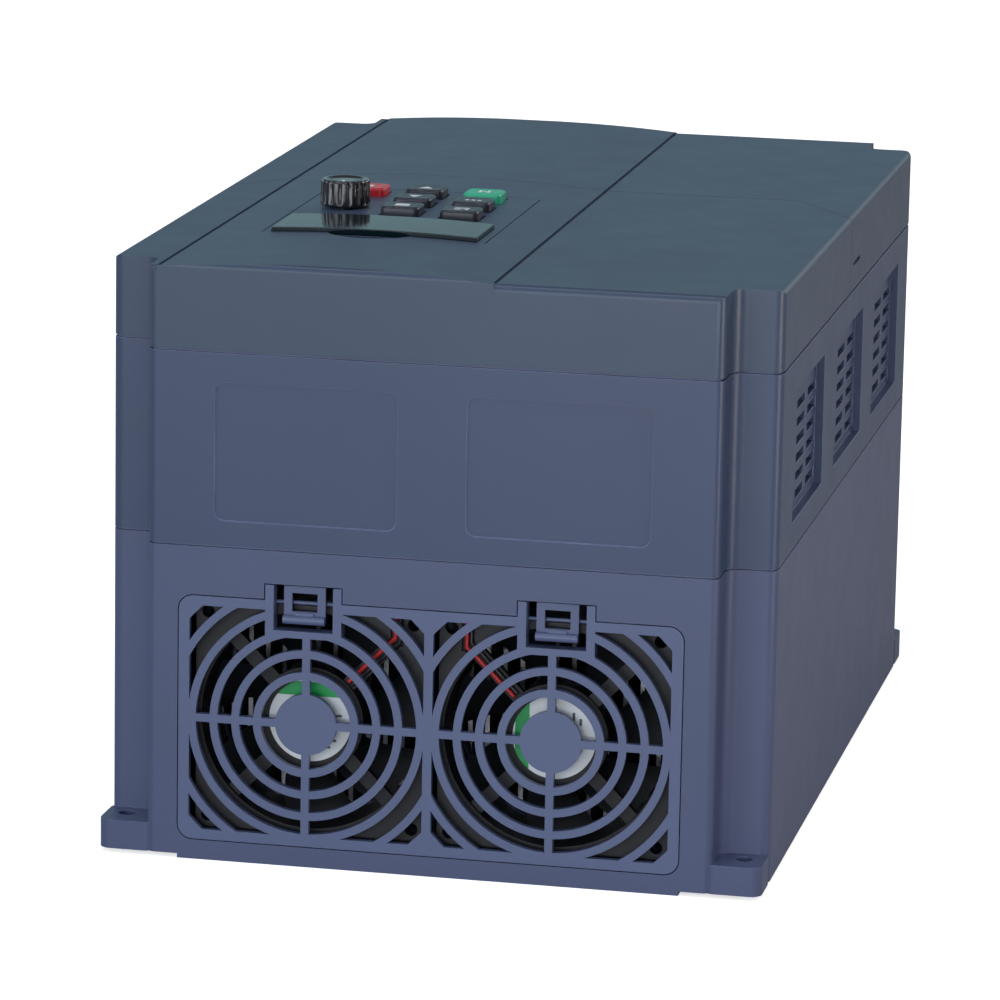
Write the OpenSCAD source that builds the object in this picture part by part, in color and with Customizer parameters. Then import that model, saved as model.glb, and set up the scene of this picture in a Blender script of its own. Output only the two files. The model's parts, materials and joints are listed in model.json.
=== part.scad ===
// Variable frequency drive lying on its back: mounting feet down, keypad up, fan end at -Y.
// Millimetres, +Z up, origin on the mounting plane under the middle of the case.

/* [Overall] */
// Width across the case
width = 230; // [220:290]
// Length from the fan end to the cable end
length = 348; // [335:430]
// Height of the flat part of the top
height = 205; // [195:260]
// Rise of the crowned strip of the top
crown = 2.5; // [1:4]
// Wall thickness of the plastic shells
wall = 3; // [2.5:4]

/* [Case plan] */
// Depth and width of each corner notch
notch = 17; // [14:22]
// Rounding of the end corners beside a notch
end_r = 3; // [2:4.5]
// Rounding of the side corners beside a notch
side_r = 4; // [3:4.5]
// Fillet in the root of a notch
notch_r = 5; // [3:7]
// Rounding of the long top edges
top_r = 2.5; // [1:2.8]

/* [Seams] */
// Height of the seam between base and middle shells
lower_seam = 110; // [108:135]
// Height of the seam between middle shell and covers
upper_seam = 177; // [172:215]
// Width of the upper seam line
upper_gap = 0.8; // [0.6:2]
// Width of the lower seam line
lower_gap = 0.5; // [0.4:2]
// Depth of a seam line
seam_depth = 1.2; // [1:1.6]
// Distance from the fan end to the cross seam of the top
cross_seam = 200; // [190:240]
// Distance from the fan end to the cross seam at the side walls
side_seam = 170; // [165:210]
// Half width of the straight part of the cross seam
seam_half = 91; // [80:95]
// Width of the cross seam
cover_gap = 0.5; // [0.4:1]

/* [Top grooves] */
// Position across the case of the left groove
groove_left = -95; // [-99:-90]
// Position across the case of the right groove
groove_right = 20; // [15:25]
// Width of a groove
groove_w = 1.4; // [1:2]
// Depth of a groove
groove_depth = 1; // [0.6:1.5]

/* [Feet] */
// Clearance under the feet
foot_lift = 1.5; // [0:3]
// Height of the top of a foot
foot_top = 11.6; // [9:15]
// Diameter of a mounting hole
foot_hole = 6; // [5:7]
// Distance from the side of the case to a mounting hole
foot_side = 7.5; // [7:8.5]
// Distance from the end of the case to a mounting hole
foot_inset = 10.5; // [8:11]
// Half width of the raised strip under the base
skid_half = 87; // [80:95]

/* [Fans] */
// Side of a square fan frame
fan = 80; // [60:80]
// Thickness of a fan
fan_t = 25; // [20:32]
// Gap between the two fan frames
fan_space = 4.6; // [2:6]
// Height of the fan centres
fan_z = 50; // [48:56]
// Wall of a fan frame beside its bore
fan_rim = 2; // [1.6:3]
// Diameter of the stationary hub plate
fan_hub = 37; // [30:40]
// Number of blades on a rotor
blades = 7; // [5:11]
// Gap between blade tips and bore
tip_gap = 0.8; // [0.5:1.5]
// Diameter of the rotor shaft
shaft_d = 4; // [3:5]
// Radial running clearance of the rotor shaft
shaft_fit = 0.05; // [0.03:0.1]
// Diameter of an insulated fan lead
lead_d = 1.5; // [1.2:2]

/* [Fan cover] */
// Height of the lower edge of the fan cover
cover_z0 = 7.2; // [6:9]
// Border of the fan cover outside the fans
cover_border = 4.5; // [3:6]
// Clearance round the fan cover
cover_fit = 0.4; // [0.3:0.8]
// Depth of the fan cover rim
cover_rim = 5.5; // [4:6]
// Thickness of the grille bars
bar_t = 2.5; // [2:3]
// Width of the grille bars
bar_w = 2.7; // [2.5:3.5]
// Middle radius of the first grille ring
ring_r = 17; // [14:18]
// Step between grille rings
ring_step = 7.6; // [7:8.5]
// Diameter of the disc in the middle of a grille
disc_d = 21.2; // [16:24]
// Cut corner of a grille opening
cell_cut = 4.7; // [3:8]
// Width of a latch tab
tab_w = 26.4; // [24:30]
// Height of a latch tab above the cover
tab_h = 5.4; // [5:7]
// Width of a latch tongue
tongue_w = 14.4; // [12:16]
// Width of the slot beside a tongue
tongue_gap = 3.1; // [2.5:3.5]
// Distance of a latch from its fan's centre, outwards
tab_shift = 1.2; // [0:3]
// Diameter of the cross bar that a tongue rocks on
rocker_d = 1.4; // [1.2:1.6]

/* [Label recesses and side vents] */
// Width of a label recess
label_w = 62.7; // [50:70]
// Height of a label recess
label_h = 47.4; // [40:54]
// Distance of a label recess centre from the middle
label_x = 43.3; // [36:48]
// Height of the label recess centres
label_z = 142.8; // [138:150]
// Depth of a label recess
label_depth = 0.8; // [0.4:1]
// Length of a vent window
vent_l = 67; // [60:72]
// Height of a vent window
vent_h = 46; // [42:50]
// Distance between vent windows
vent_pitch = 94.5; // [90:110]
// Height of the vent window centres
vent_z = 143; // [140:150]
// Depth of a vent window
vent_depth = 3; // [2:4]
// Length of a vent slot
slot_l = 17.5; // [14:19]
// Height of a vent slot
slot_h = 3; // [2:4]
// Distance between vent slot rows
slot_pitch = 6.28; // [6:7]
// Distance between vent slot columns
slot_step = 23.5; // [21:24]

/* [Keypad] */
// Width of the keypad
pad_w = 78.2; // [70:84]
// Length of the keypad
pad_l = 95; // [90:100]
// Distance from the fan end to the keypad
pad_y = 69.5; // [65:75]
// Position across the case of the keypad centre
pad_x = -37; // [-44:-36]
// Depth of the keypad below the flat top
pad_depth = 19; // [17:21]
// Clearance round the keypad
pad_fit = 0.5; // [0.3:0.8]
// Length of the display window plate
window_l = 30.2; // [26:34]
// Margin of the window plate at each side
window_side = 2.8; // [1:4]
// Rise of the window plate above the crown
window_rise = 1.5; // [0.8:2]
// Thickness of the window plate
window_t = 2.5; // [2:3]
// Diameter of the knob
knob_d = 17.8; // [15:20]
// Height of the knob
knob_h = 9.5; // [8:12]
// Diameter of the potentiometer shaft
pot_d = 6; // [5:6.35]
// Width of a key
key_w = 14; // [12:15]
// Length of a key
key_l = 12.5; // [10:14]
// Height of a key above the keypad
key_h = 3.1; // [2.6:4.5]
// Travel of a key
key_travel = 1.2; // [0.8:1.3]
// Distance between key columns
key_dx = 21.3; // [20:23]
// Distance between key rows
key_dy = 19.5; // [18:21]
// Clearance round a key
key_fit = 0.4; // [0.3:0.6]

/* [Inside] */
// Thickness of the heat sink plate
sink_plate = 10; // [8:14]
// Thickness of a cooling fin
fin_t = 1.6; // [1.2:2]
// Distance between cooling fins
fin_pitch = 6; // [5:8]
// Thickness of the circuit boards
board_t = 1.6; // [1.2:2]
// Height of the spacers under the power board
standoff_h = 14; // [13:18]
// Diameter of a capacitor
cap_d = 35; // [30:40]
// Height of a capacitor
cap_h = 45; // [35:47]
// Number of power terminals
poles = 8; // [6:9]
// Distance between power terminals
pole_pitch = 18; // [15:20]
// Diameter of a cable entry
entry_d = 28; // [20:32]
// Wall of a cable grommet
grommet_t = 2; // [1.5:3]

/* [Hidden] */
$fn = 48;
eps = 1;
front = -length / 2;
rear = length / 2;
floor_z = foot_lift + 2.5;
fan_x = (fan + fan_space) / 2;
fan_front = front + 6.5;
fan_back = fan_front + fan_t;
fan_bottom = fan_z - fan / 2;
fan_top = fan_z + fan / 2;
fan_bore = fan - 2 * fan_rim;
fan_screw = fan * 0.4469;
cover_w = 2 * fan + fan_space + 2 * cover_border;
cover_z1 = fan_z * 2 - cover_z0 - 0.2;
cover_h = cover_z1 - cover_z0;
tab_x = fan_x + tab_shift;
tab_z1 = cover_z1 + tab_h;
rocker_y = front + 4.75;
rocker_z = cover_z1 - 1.2;
cell_w = fan + 1.5;
cell_h = fan - 1.4;
duct_y = fan_back + 0.5;
duct_t = 3;
sink_y0 = duct_y + duct_t + 5;
sink_y1 = rear - 14;
// the heat sink is as wide as its fans or the terminal block and earth studs on it need
sink_half = max(fan_x + fan / 2 + 8, poles * pole_pitch / 2 + 18.3);
lead_bend = fan * 0.375;
sink_z1 = lower_seam - 6;
sink_z0 = sink_z1 - sink_plate;
board_z = sink_z1 + standoff_h;
board_top = board_z + board_t;
board_y0 = sink_y0 + 4;
board_y1 = rear - 78;
board_half = sink_half - 2;
boss_x = width / 2 - wall - 5;
boss_y = length / 2 - notch - wall - 5;
tray_z = board_top + cap_h + 3;
tray_top = tray_z + 2;
ctrl_z = tray_top + 3;
ctrl_top = ctrl_z + board_t;
crown_half = (groove_right - groove_left) / 2;
crown_x = (groove_right + groove_left) / 2;
crown_r = (crown_half * crown_half + crown * crown) / (2 * crown);
crown_cz = height + crown - crown_r;
pad_x0 = pad_x - pad_w / 2;
pad_y0 = front + pad_y;
pad_y1 = pad_y0 + pad_l;
pad_z0 = height - pad_depth;
pad_skin = height - 2;
pad_board_top = height - 9.3;
switch_h = 4.2;
key_z0 = pad_board_top + switch_h + key_travel + 0.35;
key_x0 = pad_x;
key_y0 = pad_y0 + 45.5;
knob_x = pad_x - pad_w * 23 / 78.2;
knob_y = pad_y0 + 55;
plug_x = pad_x;
plug_y = pad_y0 + 80;
notch_y = pad_y0 + 6.5;
scoop_x = pad_x - 1.6;
scoop_r = 16;
term_y = rear - 66;
term_d = 28;
term_h = 32;
gland_w = 150;
gland_z0 = lower_seam + 9;
gland_h = 48;
gland_t = 3;
entry_x = gland_w / 3;
lead_dy = lead_d + 0.1;

function crown_z(x) = crown_cz + sqrt(crown_r * crown_r - (x - crown_x) * (x - crown_x));

// ---- shared shapes ----

module box(x0, x1, y0, y1, z0, z1) {
  translate([x0, y0, z0])
    cube([x1 - x0, y1 - y0, z1 - z0]);
}

module rounded(w, h, r) {
  square([w - 2 * r, h], center = true);
  square([w, h - 2 * r], center = true);
  for (sx = [-1, 1], sy = [-1, 1])
    translate([sx * (w / 2 - r), sy * (h / 2 - r)])
      circle(r);
}

// outline of the case seen from above, moved inwards by inset
module plan(inset) {
  fillet = notch_r + inset;
  rounded(width - 2 * notch - 2 * inset, length - 2 * inset, end_r - min(inset, end_r - 0.5));
  rounded(width - 2 * inset, length - 2 * notch - 2 * inset, side_r - min(inset, side_r - 0.5));
  for (sx = [-1, 1], sy = [-1, 1])
    translate([sx * (width / 2 - notch - inset), sy * (length / 2 - notch - inset)])
      scale([sx, sy])
        difference() {
          square(fillet);
          translate([fillet, fillet])
            circle(fillet);
        }
}

module slab(inset, z0, z1) {
  translate([0, 0, z0])
    linear_extrude(z1 - z0)
      plan(inset);
}

module shell(z0, z1) {
  difference() {
    slab(0, z0, z1);
    slab(wall, z0 - eps, z1 + eps);
  }
}

// outer band removed from a shell's edge to leave a seam line
module seam_cut(z0, z1) {
  difference() {
    slab(-eps, z0, z1);
    slab(seam_depth, z0 - eps, z1 + eps);
  }
}

module pillar(x, y, z0, z1, d) {
  translate([x, y, z0])
    cylinder(h = z1 - z0, d = d);
}

module hole(x, y, z0, z1, d) {
  pillar(x, y, z0 - eps, z1 + eps, d);
}

// plate in the XZ plane with rounded corners
module panel(w, h, r, y0, y1, x, z) {
  translate([x, y1, z])
    rotate([90, 0, 0])
      linear_extrude(y1 - y0)
        rounded(w, h, r);
}

module rod(x, y0, y1, z, d) {
  translate([x, y1, z])
    rotate([90, 0, 0])
      cylinder(h = y1 - y0, d = d);
}

// long cylinder along Y whose top is the crowned surface, moved out by grow
module crown_rod(grow) {
  translate([crown_x, rear + eps, crown_cz])
    rotate([90, 0, 0])
      cylinder(h = length + 2 * eps, r = crown_r + grow, $fn = 720);
}

module pan_screw(x, y, z, d, grip) {
  difference() {
    union() {
      pillar(x, y, z, z + d * 0.6, d * 2);
      pillar(x, y, z - grip, z + eps / 2, d);
    }
    box(x - d * 0.6, x + d * 0.6, y - d * 0.1, y + d * 0.1, z + d * 0.35, z + d);
    box(x - d * 0.1, x + d * 0.1, y - d * 0.6, y + d * 0.6, z + d * 0.35, z + d);
  }
}

// ---- case shells ----

module foot(sx, sy) {
  reach = notch + wall;
  difference() {
    translate([sx * (width / 2 - reach / 2), sy * (length / 2 - reach / 2), foot_lift])
      linear_extrude(foot_top - foot_lift)
        rounded(reach, reach, side_r);
    hole(sx * (width / 2 - foot_side), sy * (length / 2 - foot_inset), foot_lift, foot_top,
      foot_hole);
  }
}

module fan_opening(fit, y0, y1) {
  panel(cover_w + 2 * fit, cover_h + 2 * fit, 5 + fit, y0, y1, 0, (cover_z0 + cover_z1) / 2);
  for (sx = [-1, 1])
    box(sx * tab_x - tab_w / 2 - fit, sx * tab_x + tab_w / 2 + fit, y0, y1,
      cover_z1 - 6, tab_z1 + fit);
}

module base_housing() {
  color("dimgray")
    difference() {
      union() {
        difference() {
          slab(0, foot_lift, lower_seam);
          slab(wall, floor_z, lower_seam + eps);
        }
        intersection() {
          slab(0, 0, foot_lift + 0.5);
          box(-skid_half, skid_half, front - eps, rear + eps, 0, foot_lift + 0.5);
        }
        for (sx = [-1, 1], sy = [-1, 1])
          foot(sx, sy);
        for (sx = [-1, 1], sy = [-1, 1])
          pillar(sx * boss_x, sy * boss_y, floor_z - 0.5, lower_seam, 12);
        for (sx = [-1, 1])
          box(sx * (sink_half - 2) - 1, sx * (sink_half - 2) + 1, duct_y + duct_t, rear - 2,
            floor_z - 0.5, sink_z0);
      }
      seam_cut(lower_seam - lower_gap / 2, lower_seam + eps);
      fan_opening(cover_fit, front - eps, front + wall + eps);
      for (i = [-10 : 10])
        box(i * 8 - 2.5, i * 8 + 2.5, rear - wall - eps, rear + eps, 18, sink_z0 - 8);
      for (sx = [-1, 1], sy = [-1, 1])
        pillar(sx * boss_x, sy * boss_y, lower_seam - 14, lower_seam + eps, 4);
    }
}

module vent_backs() {
  for (sx = [-1, 1], k = [-1, 0, 1])
    translate([sx * (width / 2 - vent_depth - 1), k * vent_pitch, vent_z])
      cube([4, vent_l + 4, vent_h + 4], center = true);
}

module vent_cuts() {
  for (sx = [-1, 1], k = [-1, 0, 1])
    translate([sx * (width / 2 - vent_depth / 2 + 0.5), k * vent_pitch, vent_z])
      cube([vent_depth + 1, vent_l, vent_h], center = true);
  for (k = [-1, 0, 1], c = [-1, 0, 1], r = [0 : 5])
    translate([0, k * vent_pitch + c * slot_step, vent_z - vent_h / 2 + 4.5 + r * slot_pitch])
      cube([width + 2, slot_l, slot_h], center = true);
}

module middle_housing() {
  color("slategray")
    difference() {
      union() {
        shell(lower_seam, upper_seam);
        vent_backs();
        for (sx = [-1, 1], sy = [-1, 1])
          pillar(sx * boss_x, sy * boss_y, lower_seam, upper_seam, 12);
      }
      seam_cut(lower_seam - eps, lower_seam + lower_gap / 2);
      seam_cut(upper_seam - upper_gap / 2, upper_seam + eps);
      vent_cuts();
      for (sx = [-1, 1])
        panel(label_w, label_h, 3.5, front - eps, front + label_depth, sx * label_x, label_z);
      panel(gland_w, gland_h, 3, rear - wall - eps, rear + eps, 0, gland_z0 + gland_h / 2);
      for (sx = [-1, 1], sy = [-1, 1]) {
        hole(sx * boss_x, sy * boss_y, lower_seam, upper_seam, 4.6);
        pillar(sx * boss_x, sy * boss_y, lower_seam + 8, upper_seam + eps, 8.4);
      }
    }
}

// strip outside a quarter round, cut from an edge that runs along Y at x, z
module edge_cut_y(sx, z) {
  x = sx * (width / 2 - top_r);
  difference() {
    box(min(x, sx * (width / 2 + eps)), max(x, sx * (width / 2 + eps)), front - eps, rear + eps,
      z - top_r, z + eps);
    rod(x, front - 2 * eps, rear + 2 * eps, z - top_r, 2 * top_r);
  }
}

// the same for an edge that runs along X from x0 to x1 at an end
module edge_cut_x(sy, x0, x1, z) {
  y = sy * (length / 2 - top_r);
  difference() {
    box(x0, x1, min(y, sy * (length / 2 + eps)), max(y, sy * (length / 2 + eps)), z - top_r, z + eps);
    translate([x0 - eps, y, z - top_r])
      rotate([0, 90, 0])
        cylinder(h = x1 - x0 + 2 * eps, r = top_r);
  }
}

// solid block under the crowned top, with the long and end edges rounded
module cover_block() {
  difference() {
    union() {
      slab(0, upper_seam, height);
      intersection() {
        slab(0, height - 1, height + crown + eps);
        box(groove_left, groove_right, front - eps, rear + eps, height - 1, height + crown + eps);
        crown_rod(0);
      }
    }
    for (s = [-1, 1]) {
      edge_cut_y(s, height);
      edge_cut_x(s, -width / 2, groove_left, height);
      edge_cut_x(s, groove_left, groove_right, height + crown);
      edge_cut_x(s, groove_right, width / 2, height);
    }
  }
}

// plan of everything on the fan side of the cross seam
module seam_side(shift) {
  polygon([[-width, front - eps], [width, front - eps], [width, front + side_seam + shift],
    [width / 2 - 2, front + side_seam + shift], [seam_half, front + cross_seam + shift],
    [-seam_half, front + cross_seam + shift], [2 - width / 2, front + side_seam + shift],
    [-width, front + side_seam + shift]]);
}

module grooves() {
  for (x = [groove_left, groove_right])
    box(x - groove_w / 2, x + groove_w / 2, front + top_r, rear - top_r,
      height - groove_depth, height + crown + eps);
}

module top_cover() {
  pocket_t = 2;
  color("slategray")
    difference() {
      union() {
        difference() {
          intersection() {
            cover_block();
            translate([0, 0, upper_seam - eps])
              linear_extrude(height)
                seam_side(-cover_gap / 2);
          }
          slab(wall, upper_seam - eps, height - wall);
        }
        box(pad_x0 - pad_fit - pocket_t, pad_x0 + pad_w + pad_fit + pocket_t,
          pad_y0 - pad_fit - pocket_t, pad_y1 + pad_fit + pocket_t,
          pad_z0 - 0.5 - pocket_t, height - wall + 0.5);
        pillar(scoop_x, notch_y, height - 9, height - wall + 0.5, 2 * scoop_r + 4);
        intersection() {
          slab(wall + 0.4, height - wall - 2.9, height - wall - 0.5);
          box(-width, width, front + cross_seam - 5, front + cross_seam + 5, 0, height);
          box(-seam_half + 4, seam_half - 4, front, rear, 0, height);
        }
        box(-seam_half + 4, seam_half - 4, front + cross_seam - 5, front + cross_seam - 2,
          height - wall - 2, height - wall + 0.5);
      }
      box(pad_x0 - pad_fit, pad_x0 + pad_w + pad_fit, pad_y0 - pad_fit, pad_y1 + pad_fit,
        pad_z0 - 0.5, height + crown + eps);
      pillar(scoop_x, notch_y, height - 6, height + crown + eps, 2 * scoop_r);
      box(plug_x - 12, plug_x + 12, plug_y - 9, plug_y + 9, pad_z0 - 4, pad_z0);
      grooves();
      seam_cut(upper_seam - eps, upper_seam + upper_gap / 2);
    }
}

module terminal_cover() {
  color("slategray")
    difference() {
      intersection() {
        cover_block();
        difference() {
          box(-width, width, front, rear + eps, upper_seam + 0.4, height + crown + eps);
          translate([0, 0, upper_seam - eps])
            linear_extrude(height)
              seam_side(cover_gap / 2);
        }
      }
      slab(wall, upper_seam - eps, height - wall);
      grooves();
      seam_cut(upper_seam - eps, upper_seam + upper_gap / 2);
      for (sx = [-1, 1])
        translate([sx * width / 2, front + side_seam + 15, upper_seam + 10])
          cube([2, 17, 1.6], center = true);
    }
}

// ---- cooling fans ----

module grille_cell() {
  difference() {
    intersection() {
      square([cell_w, cell_h], center = true);
      rotate(45)
        square((cell_w + cell_h - 2 * cell_cut) * sqrt(0.5), center = true);
    }
    intersection() {
      square([cell_w + eps, cell_h + eps], center = true);
      union() {
        circle(d = disc_d);
        square([bar_w, cell_h + eps], center = true);
        square([cell_w + eps, bar_w], center = true);
        for (k = [0 : 4])
          difference() {
            circle(ring_r + k * ring_step + bar_w / 2, $fn = 96);
            circle(ring_r + k * ring_step - bar_w / 2, $fn = 96);
          }
      }
    }
  }
}

module fan_cover() {
  slot_w = tongue_w + 2 * tongue_gap;
  slot_z0 = cover_z1 - 10.2;
  color("dimgray")
    union() {
      difference() {
        union() {
          difference() {
            fan_opening(0, front, front + bar_t);
            for (sx = [-1, 1])
              translate([sx * fan_x, front + bar_t + eps, fan_z])
                rotate([90, 0, 0])
                  linear_extrude(bar_t + 2 * eps)
                    grille_cell();
          }
          difference() {
            fan_opening(0, front, front + cover_rim);
            panel(cover_w - 4, cover_h - 4, 3, front - eps, front + cover_rim + eps, 0,
              (cover_z0 + cover_z1) / 2);
          }
          for (sx = [-1, 1])
            box(sx * tab_x - tab_w / 2, sx * tab_x + tab_w / 2, front, front + cover_rim,
              slot_z0 - 2.4, tab_z1);
        }
        for (sx = [-1, 1])
          box(sx * tab_x - slot_w / 2, sx * tab_x + slot_w / 2, front - eps,
            front + cover_rim + eps, slot_z0, tab_z1 + eps);
      }
      for (sx = [-1, 1])
        translate([sx * tab_x - slot_w / 2 - 1, rocker_y, rocker_z])
          rotate([0, 90, 0])
            cylinder(h = slot_w + 2, d = rocker_d);
    }
}

// tongue that rocks on the cross bar, with a finger lip at its lower end
module fan_latch(sx) {
  x0 = sx * tab_x - tongue_w / 2;
  x1 = sx * tab_x + tongue_w / 2;
  y1 = rocker_y - rocker_d / 2 - 0.35;
  z0 = cover_z1 - 8;
  z1 = tab_z1 - 0.4;
  color("dimgray")
    difference() {
      union() {
        box(x0, x1, y1 - 1.4, y1, z0 + 1, z1);
        box(x0, x1, front + 1.5, y1, z0, z0 + 3);
        translate([x0, front + 1.5, z0 + 1.5])
          rotate([0, 90, 0])
            cylinder(h = tongue_w, d = 3);
        box(x0 + 4, x1 - 4, front + 1.4, y1 - 0.7, z0 + 1, z0 + 4);
      }
      box(x0 + 2.8, x1 - 2.8, front - eps, front + 5, z0 + 4.2, z1 - 2.4);
      box(x0 - eps, x0 + 2.8, front + 1.5, y1 - 1.4, z0 + 3, z0 + 5);
    }
}

module fan_latch_left() {
  fan_latch(-1);
}

module fan_latch_right() {
  fan_latch(1);
}

module strut_slab(angle, r0, r1, w, y0, y1) {
  translate([0, y1, 0])
    rotate([90, 0, 0])
      linear_extrude(y1 - y0)
        rotate(angle)
          translate([r0, -w / 2])
            square([r1 - r0, w]);
}

module fan_frame(sx) {
  lead_angle = sx < 0 ? 45 : 135;
  color("black")
    translate([sx * fan_x, 0, fan_z])
      difference() {
        union() {
          difference() {
            panel(fan, fan, 4, fan_front, fan_back, 0, 0);
            rod(0, fan_front - eps, fan_back + eps, 0, fan_bore);
            for (a = [45 : 90 : 315])
              rotate([0, a, 0])
                box(fan * 0.36 * sqrt(2) - 8, fan * 0.7, fan_front + 4, fan_back - 4, -9, 9);
          }
          difference() {
            panel(fan - 2, fan - 2, 4, fan_front, fan_back, 0, 0);
            rod(0, fan_front - eps, fan_back + eps, 0, fan_bore);
            for (sx2 = [-1, 1], sz = [-1, 1])
              translate([sx2 * (fan / 2), 0, sz * (fan / 2)])
                box(-11, 11, fan_front + 4, fan_back - 4, -11, 11);
          }
          rod(0, fan_front + 0.4, fan_front + 3.4, 0, fan_hub);
          rod(0, fan_front + 3, fan_front + 15, 0, shaft_d + 6);
          rod(0, fan_front + 5, fan_front + 14, 0, fan_hub - 14);
          for (a = [45 : 90 : 315])
            strut_slab(a, fan_hub / 2 - 1, fan_bore / 2 + 1, 5, fan_front + 1.9, fan_front + 4.4);
        }
        rod(0, fan_front + 2.5, fan_back, 0, shaft_d + 2 * shaft_fit);
        for (cx = [-1, 1], cz = [-1, 1])
          rod(cx * fan_screw, fan_front - eps, fan_back + eps, cz * fan_screw, 4.4);
        strut_slab(lead_angle, fan_bore / 2 - 2, fan_bore / 2 + 4, 4.5, fan_front - eps,
          fan_front + 1.9);
        box(-sx * lead_bend - 2.25, -sx * lead_bend + 2.25, fan_front - eps, fan_front + 1.9,
          lead_bend - 2, fan / 2 + eps);
      }
}

module fan_frame_left() {
  fan_frame(-1);
}

module fan_frame_right() {
  fan_frame(1);
}

module fan_rotor(sx) {
  y0 = fan_front + 5.2;
  y1 = fan_back - 2;
  color("darkslategray")
    translate([sx * fan_x, 0, fan_z])
      union() {
        difference() {
          rod(0, y0, y1, 0, fan_hub - 2);
          rod(0, y0 - eps, y1 - 2, 0, fan_hub - 6);
        }
        rod(0, fan_front + 3.5, y1 - 1, 0, shaft_d);
        for (i = [0 : blades - 1])
          rotate([0, i * 360 / blades, 0])
            intersection() {
              rod(0, y0, y1, 0, fan_bore - 2 * tip_gap);
              translate([fan_hub / 2 - 2, (y0 + y1) / 2, 0])
                rotate([32, 0, 0])
                  translate([0, -12, -0.8])
                    cube([fan_bore / 2, 24, 1.6]);
            }
      }
}

module fan_rotor_left() {
  fan_rotor(-1);
}

module fan_rotor_right() {
  fan_rotor(1);
}

module fan_labels() {
  color("white")
    for (sx = [-1, 1])
      rod(sx * fan_x, fan_front + 0.15, fan_front + 0.4, fan_z, 28.7);
}

// one insulated lead from the hub along a strut, over the frame and up to its socket
module lead(sx, side) {
  off = side * lead_dy / 2;
  y_front = fan_front + 1.9 - lead_d / 2;
  hub_r = fan_hub / 2 + 1.2;
  x_hub = sx * fan_x - sx * hub_r * 0.7071;
  pts = [
    [x_hub + off * 0.7071, y_front, fan_z + hub_r * 0.7071 + sx * off * 0.7071],
    [sx * fan_x - sx * lead_bend + off, y_front, fan_z + lead_bend + sx * off],
    [sx * fan_x - sx * lead_bend + off, y_front, fan_top + 1.6],
    [sx * fan_x - sx * lead_bend + off, fan_back + 1.5, fan_top + 1.6],
    [sx * fan_x - sx * lead_bend + off, sink_y0 - 2.2, fan_top + 6],
    [sx * fan_x - sx * lead_bend + off, sink_y0 - 2.2, board_top + 4],
    [sx * fan_x - sx * lead_bend + off, board_y0 + 3.2, board_top + 4]];
  for (i = [0 : 5])
    hull() {
      translate(pts[i])
        sphere(d = lead_d, $fn = 12);
      translate(pts[i + 1])
        sphere(d = lead_d, $fn = 12);
    }
}

module fan_leads_red() {
  color("red")
    for (sx = [-1, 1])
      lead(sx, -1);
}

module fan_leads_black() {
  color("black")
    for (sx = [-1, 1])
      lead(sx, 1);
}

module fan_duct() {
  color("dimgray") {
    difference() {
      box(-sink_half + 3.4, sink_half - 3.4, duct_y, duct_y + duct_t, floor_z, fan_top);
      for (sx = [-1, 1])
        rod(sx * fan_x, duct_y - eps, duct_y + duct_t + eps, fan_z, fan_bore);
    }
    for (sx = [-1, 1], cx = [-1, 1], cz = [-1, 1])
      rod(sx * fan_x + cx * fan_screw, fan_back - 3.6, duct_y + 1, fan_z + cz * fan_screw, 4);
  }
}

module fan_sockets() {
  color("ivory")
    for (sx = [-1, 1])
      difference() {
        box(sx * (fan_x - lead_bend) - 4, sx * (fan_x - lead_bend) + 4, board_y0 + 2, board_y0 + 9,
          board_top, board_top + 7.5);
        box(sx * (fan_x - lead_bend) - 2.6, sx * (fan_x - lead_bend) + 2.6, board_y0 + 1, board_y0 + 5,
          board_top + 2.4, board_top + 5.6);
      }
}

// ---- power section ----

module heat_sink() {
  color("silver")
    difference() {
      union() {
        box(-sink_half, sink_half, sink_y0, sink_y1, sink_z0, sink_z1);
        for (i = [-floor((sink_half - 6) / fin_pitch) : floor((sink_half - 6) / fin_pitch)])
          box(i * fin_pitch - fin_t / 2, i * fin_pitch + fin_t / 2, sink_y0 + 2, sink_y1 - 8,
            floor_z + 4, sink_z0 + 1);
      }
      for (sx = [-1, 1], y = [board_y0 + 6, 0, board_y1 - 6])
        pillar(sx * (board_half - 6), y, sink_z1 - 7, sink_z1 + eps, 3);
    }
}

module igbt_module() {
  color("whitesmoke")
    difference() {
      union() {
        box(-61, 61, -75, -13, sink_z1, sink_z1 + 9);
        box(-52, 52, -66, -22, sink_z1 + 8, sink_z1 + 11.5);
      }
      for (sx = [-1, 1], y = [-69, -19])
        hole(sx * 55, y, sink_z1, sink_z1 + 12, 5.5);
    }
}

module rectifier_module() {
  color("whitesmoke")
    difference() {
      union() {
        box(-47, 47, 22, 56, sink_z1, sink_z1 + 9);
        box(-36, 36, 24, 54, sink_z1 + 8, sink_z1 + 11.5);
      }
      for (sx = [-1, 1])
        hole(sx * 41.5, 39, sink_z1, sink_z1 + 12, 5.5);
    }
}

module module_screws() {
  color("gainsboro") {
    for (sx = [-1, 1], y = [-69, -19])
      pan_screw(sx * 55, y, sink_z1 + 9, 4, 8.6);
    for (sx = [-1, 1])
      pan_screw(sx * 41.5, 39, sink_z1 + 9, 4, 8.6);
  }
}

module power_board() {
  color("darkgreen")
    difference() {
      box(-board_half, board_half, board_y0, board_y1, board_z, board_top);
      for (sx = [-1, 1], y = [board_y0 + 6, 0, board_y1 - 6])
        hole(sx * (board_half - 6), y, board_z, board_top, 3.4);
    }
}

module board_standoffs() {
  color("gold")
    for (sx = [-1, 1], y = [board_y0 + 6, 0, board_y1 - 6])
      difference() {
        pillar(sx * (board_half - 6), y, sink_z1, board_z, 7);
        hole(sx * (board_half - 6), y, sink_z1, board_z, 3);
      }
}

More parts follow.
